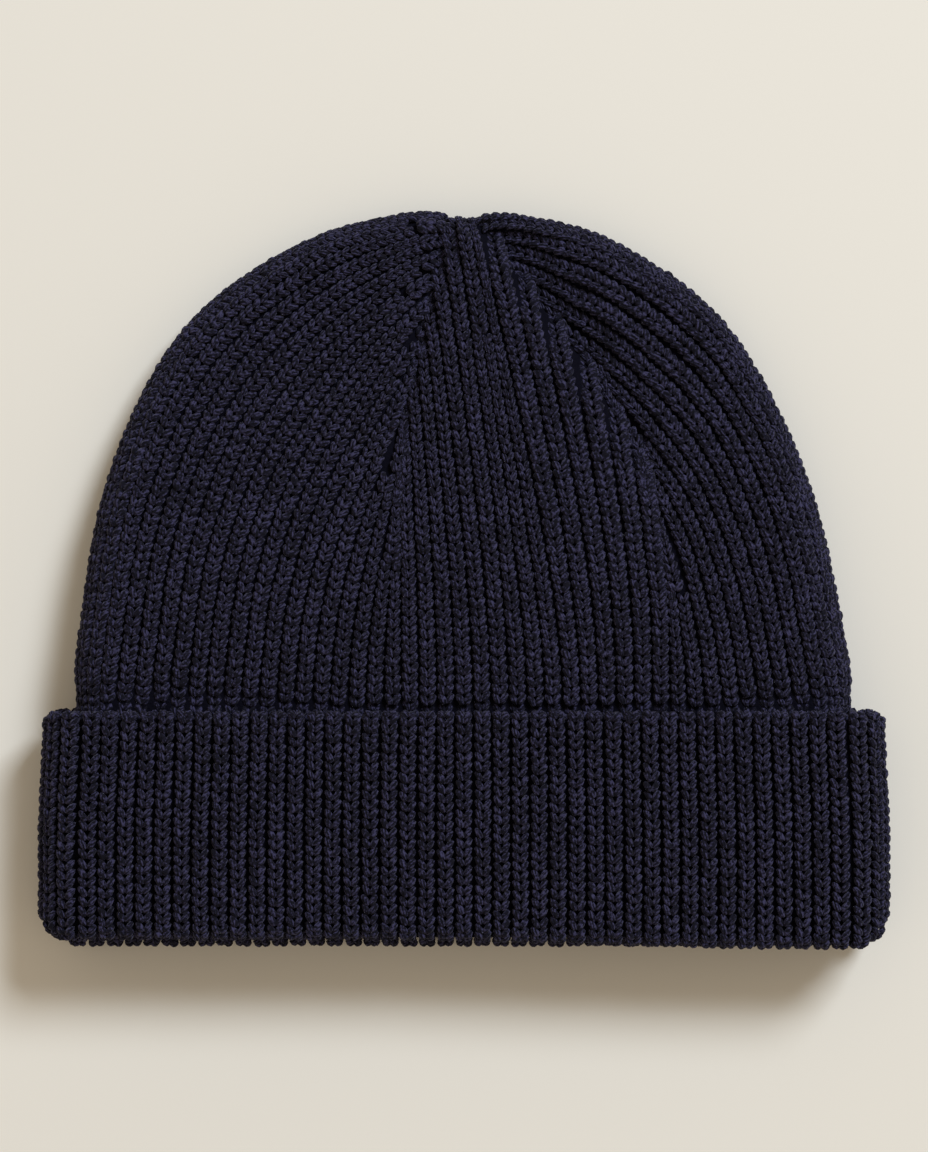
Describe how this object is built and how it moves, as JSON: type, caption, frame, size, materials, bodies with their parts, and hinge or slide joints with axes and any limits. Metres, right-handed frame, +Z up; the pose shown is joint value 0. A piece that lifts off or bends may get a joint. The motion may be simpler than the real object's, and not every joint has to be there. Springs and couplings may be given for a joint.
{
  "type": "knitted beanie",
  "caption": "Cuffed beanie in chunky ribbed knit, lying flat on its back; a hollow crown closed by darts at the tip and a turned-up cuff round the open mouth.",
  "frame": {"origin": "middle of the bounding box on the surface that the hat lies on", "axes": "+X across the hat towards the picture's right, +Y from the mouth to the crown's tip, +Z up out of the front panel"},
  "size_m": [0.2318, 0.2006, 0.03],
  "materials": {
    "crown_knit": "matt heathered navy rib knit",
    "cuff_knit": "matt heathered navy rib knit"
  },
  "bodies": {
    "root": {"crown": "crown_knit", "cuff": "cuff_knit"}
  },
  "joints": []
}
